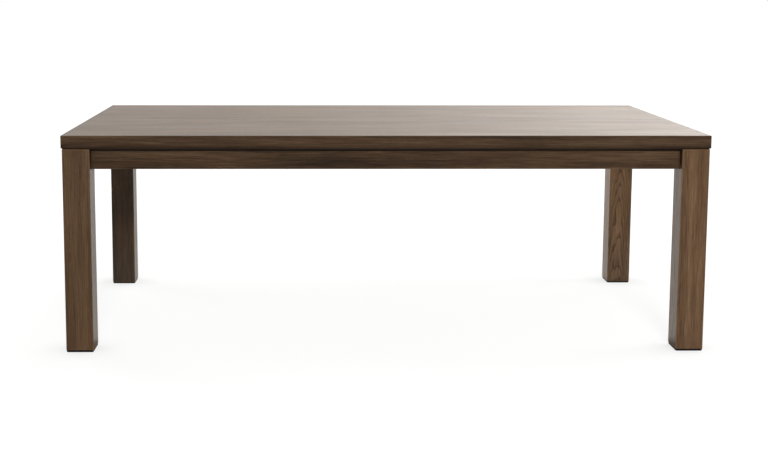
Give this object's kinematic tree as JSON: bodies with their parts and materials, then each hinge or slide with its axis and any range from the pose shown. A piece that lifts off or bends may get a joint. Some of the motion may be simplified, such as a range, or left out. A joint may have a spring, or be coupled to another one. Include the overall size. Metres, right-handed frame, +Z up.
{
  "type": "parsons dining table",
  "caption": "Long dining table in dark oak: thick-edged top over a recessed apron frame, square corner legs bolted to steel corner plates, black pads under the feet.",
  "frame": {"origin": "on the floor, under the middle of the top", "axes": "+X along the table, +Y towards its back, +Z up"},
  "size_m": [2.236, 1.118, 0.762],
  "materials": {
    "dark_oak": "dark brown stained oak, open grain, satin lacquer",
    "frame_wood": "plain unfinished hardwood, planed",
    "zinc_steel": "bright zinc plate",
    "black_pad": "black moulded plastic, fine matt texture"
  },
  "bodies": {
    "root": {"top_panel": "dark_oak", "edge_lipping_front": "dark_oak", "edge_lipping_right": "dark_oak", "edge_lipping_back": "dark_oak", "edge_lipping_left": "dark_oak", "apron_front": "dark_oak", "apron_right": "dark_oak", "apron_back": "dark_oak", "apron_left": "dark_oak", "leg_front_left": "dark_oak", "leg_front_right": "dark_oak", "leg_back_right": "dark_oak", "leg_back_left": "dark_oak", "build_up_strip_front": "frame_wood", "build_up_strip_right": "frame_wood", "build_up_strip_back": "frame_wood", "build_up_strip_left": "frame_wood", "cross_batten_left": "frame_wood", "cross_batten_right": "frame_wood", "cross_rail_left": "frame_wood", "cross_rail_right": "frame_wood", "corner_plate_front_left": "zinc_steel", "corner_plate_front_right": "zinc_steel", "corner_plate_back_right": "zinc_steel", "corner_plate_back_left": "zinc_steel", "hanger_bolts": "zinc_steel", "bolt_washers": "zinc_steel", "bolt_nuts": "zinc_steel", "top_clips": "zinc_steel", "foot_pad_front_left": "black_pad", "foot_pad_front_right": "black_pad", "foot_pad_back_right": "black_pad", "foot_pad_back_left": "black_pad"}
  },
  "joints": []
}
